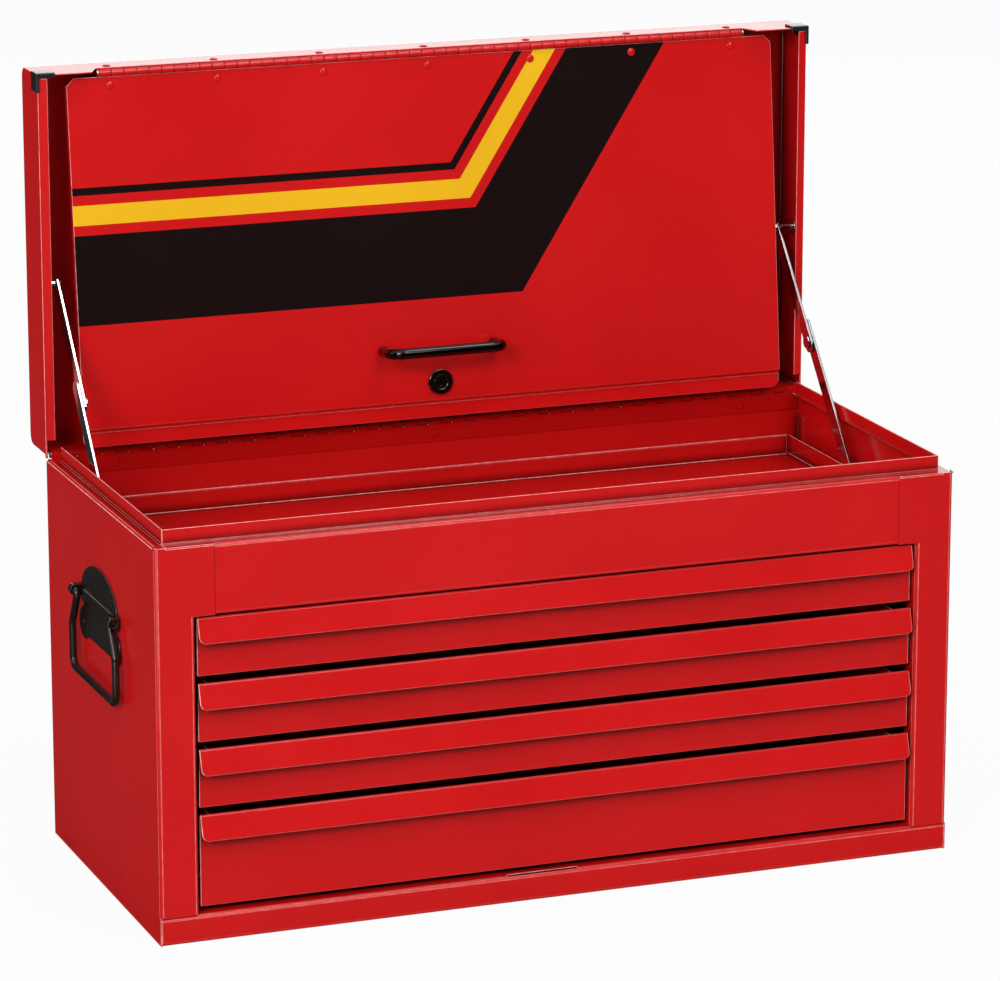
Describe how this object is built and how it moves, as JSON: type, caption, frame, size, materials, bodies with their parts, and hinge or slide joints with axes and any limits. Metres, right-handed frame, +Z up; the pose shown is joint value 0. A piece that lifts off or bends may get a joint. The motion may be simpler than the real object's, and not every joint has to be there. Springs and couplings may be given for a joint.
{
  "type": "drawer tool chest",
  "caption": "Steel tool chest with lipped drawers, a till under a lift-up lid held by folding stays, and a hinged front cover with a pull and a lock that stows inside the lid.",
  "frame": {"origin": "middle of the flat underside of the base", "axes": "+Z up, the drawers pull out towards -Y, +X to the right as seen from the front"},
  "size_m": [0.681, 0.343, 0.6261],
  "materials": {
    "red_paint": "gloss, faint orange peel",
    "inner_red": "satin",
    "zinc_steel": "bright zinc plate",
    "black_enamel": "semi-gloss",
    "black_chrome": "dark polished",
    "black_plastic": "matte"
  },
  "bodies": {
    "cabinet": {"side_left": "red_paint", "side_right": "red_paint", "back_panel": "inner_red", "base_pan": "red_paint", "fascia": "red_paint", "till_pan": "inner_red", "till_ledge_left": "inner_red", "till_ledge_right": "inner_red", "rear_post_left": "inner_red", "rear_post_right": "inner_red", "fixed_rails_1": "zinc_steel", "fixed_rails_2": "zinc_steel", "fixed_rails_3": "zinc_steel", "fixed_rails_4": "zinc_steel", "handle_plate_left": "black_enamel", "handle_plate_right": "black_enamel", "handle_rivets": "black_enamel", "rear_leaf_cabinet": "red_paint", "rear_rivets_cabinet": "red_paint", "rear_hinge_pin": "zinc_steel", "foot_stud_left": "zinc_steel", "foot_stud_right": "zinc_steel"},
    "lid": {"rear_leaf_lid": "red_paint", "rear_rivets_lid": "red_paint", "lid_shell": "red_paint", "lid_cap_left": "black_plastic", "lid_cap_right": "black_plastic", "cover_leaf_lid": "red_paint", "cover_hinge_pin": "zinc_steel", "cover_rivets_lid": "red_paint", "lid_stud_left": "zinc_steel", "lid_stud_right": "zinc_steel"},
    "cover": {"cover_leaf_panel": "red_paint", "cover_rivets_panel": "red_paint", "cover_panel": "red_paint", "pull_handle": "black_chrome", "pull_screws": "zinc_steel", "lock_housing": "black_chrome", "lock_nut": "zinc_steel"},
    "lock": {"lock_plug": "zinc_steel", "lock_cam": "zinc_steel"},
    "drawer_1": {"drawer_front_1": "red_paint", "drawer_tray_1": "red_paint", "drawer_rails_1": "zinc_steel"},
    "drawer_2": {"drawer_front_2": "red_paint", "drawer_tray_2": "red_paint", "drawer_rails_2": "zinc_steel"},
    "drawer_3": {"drawer_front_3": "red_paint", "drawer_tray_3": "red_paint", "drawer_rails_3": "zinc_steel"},
    "drawer_4": {"drawer_front_4": "red_paint", "drawer_tray_4": "red_paint", "drawer_rails_4": "zinc_steel"},
    "bail_left": {"bail_left": "black_enamel"},
    "stay_lower_left": {"stay_lower_left": "zinc_steel"},
    "stay_upper_left": {"stay_upper_left": "zinc_steel"},
    "bail_right": {"bail_right": "black_enamel"},
    "stay_lower_right": {"stay_lower_right": "zinc_steel"},
    "stay_upper_right": {"stay_upper_right": "zinc_steel"}
  },
  "joints": [
    {"name": "lid_hinge", "type": "hinge", "parent": "cabinet", "child": "lid", "pos_m": [0, 0.1475, 0.317], "axis": [-1, 0, 0], "range_deg": [-90, 0]},
    {"name": "cover_hinge", "type": "hinge", "parent": "lid", "child": "cover", "pos_m": [0, 0.16, 0.6206], "axis": [-1, 0, 0], "range_deg": [-6, 93]},
    {"name": "lock_turn", "type": "hinge", "parent": "cover", "child": "lock", "pos_m": [0, 0.13193, 0.35357], "axis": [0, -0.9945, 0.1045], "range_deg": [0, 90]},
    {"name": "drawer_1_slide", "type": "slide", "parent": "cabinet", "child": "drawer_1", "axis": [0, -1, 0], "range_m": [0, 0.215]},
    {"name": "drawer_2_slide", "type": "slide", "parent": "cabinet", "child": "drawer_2", "axis": [0, -1, 0], "range_m": [0, 0.215]},
    {"name": "drawer_3_slide", "type": "slide", "parent": "cabinet", "child": "drawer_3", "axis": [0, -1, 0], "range_m": [0, 0.215]},
    {"name": "drawer_4_slide", "type": "slide", "parent": "cabinet", "child": "drawer_4", "axis": [0, -1, 0], "range_m": [0, 0.215]},
    {"name": "bail_left_swing", "type": "hinge", "parent": "cabinet", "child": "bail_left", "pos_m": [-0.336, 0, 0.232], "axis": [0, 1, 0], "range_deg": [0, 90]},
    {"name": "bail_right_swing", "type": "hinge", "parent": "cabinet", "child": "bail_right", "pos_m": [0.336, 0, 0.232], "axis": [0, -1, 0], "range_deg": [0, 90]},
    {"name": "stay_foot_left", "type": "hinge", "parent": "cabinet", "child": "stay_lower_left", "pos_m": [-0.3147, 0.012, 0.27], "axis": [-1, 0, 0], "range_deg": [0, 16.4]},
    {"name": "stay_elbow_left", "type": "hinge", "parent": "stay_lower_left", "child": "stay_upper_left", "pos_m": [-0.3147, 0.09593, 0.36946], "axis": [-1, 0, 0], "range_deg": [-149.9, 0]},
    {"name": "stay_foot_right", "type": "hinge", "parent": "cabinet", "child": "stay_lower_right", "pos_m": [0.3147, 0.012, 0.27], "axis": [-1, 0, 0], "range_deg": [0, 16.4]},
    {"name": "stay_elbow_right", "type": "hinge", "parent": "stay_lower_right", "child": "stay_upper_right", "pos_m": [0.3147, 0.09593, 0.36946], "axis": [-1, 0, 0], "range_deg": [-149.9, 0]}
  ],
  "couplings": [
    {"joint": "stay_foot_left", "follows": "lid_hinge", "ratio": -0.18101},
    {"joint": "stay_elbow_left", "follows": "lid_hinge", "ratio": 1.6649},
    {"joint": "stay_foot_right", "follows": "lid_hinge", "ratio": -0.18101},
    {"joint": "stay_elbow_right", "follows": "lid_hinge", "ratio": 1.6649}
  ]
}
